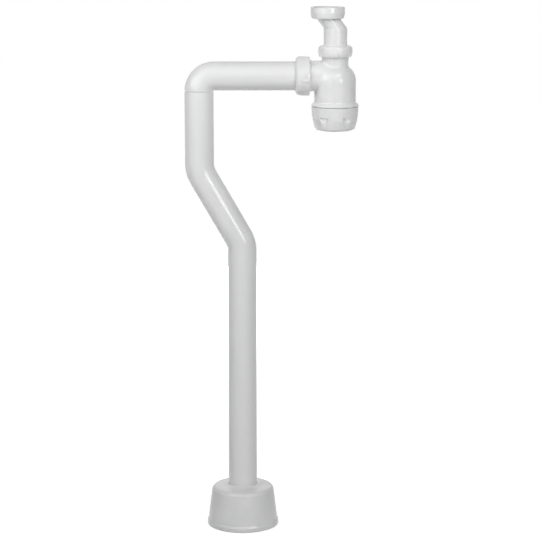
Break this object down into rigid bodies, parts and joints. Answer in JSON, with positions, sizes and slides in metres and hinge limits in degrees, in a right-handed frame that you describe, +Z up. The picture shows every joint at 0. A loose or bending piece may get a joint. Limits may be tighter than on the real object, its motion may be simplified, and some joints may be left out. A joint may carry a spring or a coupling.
{
  "type": "s-trap",
  "caption": "Washbasin bottle trap with a union inlet, screw-on cleaning cup and compression outlet, an elbow, a double-bend floor pipe and a conical floor rosette.",
  "frame": {"origin": "on the floor pipe's axis at its lower end, level with the rosette's base and the floor", "axes": "+Z up along the floor pipe, +X towards the trap, in the plane of the pipes"},
  "size_m": [0.2386, 0.1006, 0.7297],
  "materials": {
    "trap_plastic": "gloss",
    "pipe_plastic": "semi-gloss",
    "rosette_plastic": "semi-gloss",
    "seal_rubber": "matt",
    "ring_plastic": "matt"
  },
  "bodies": {
    "root": {"inlet_union_nut": "trap_plastic", "inlet_washer": "seal_rubber", "inlet_tube": "trap_plastic", "inlet_compression_nut": "trap_plastic", "inlet_slip_ring": "ring_plastic", "inlet_taper_seal": "seal_rubber", "trap_body": "trap_plastic", "cleaning_cup": "trap_plastic", "cup_seal": "seal_rubber", "outlet_compression_nut": "trap_plastic", "outlet_slip_ring": "ring_plastic", "outlet_taper_seal": "seal_rubber", "elbow_pipe": "pipe_plastic", "floor_pipe": "pipe_plastic", "floor_rosette": "rosette_plastic"}
  },
  "joints": []
}
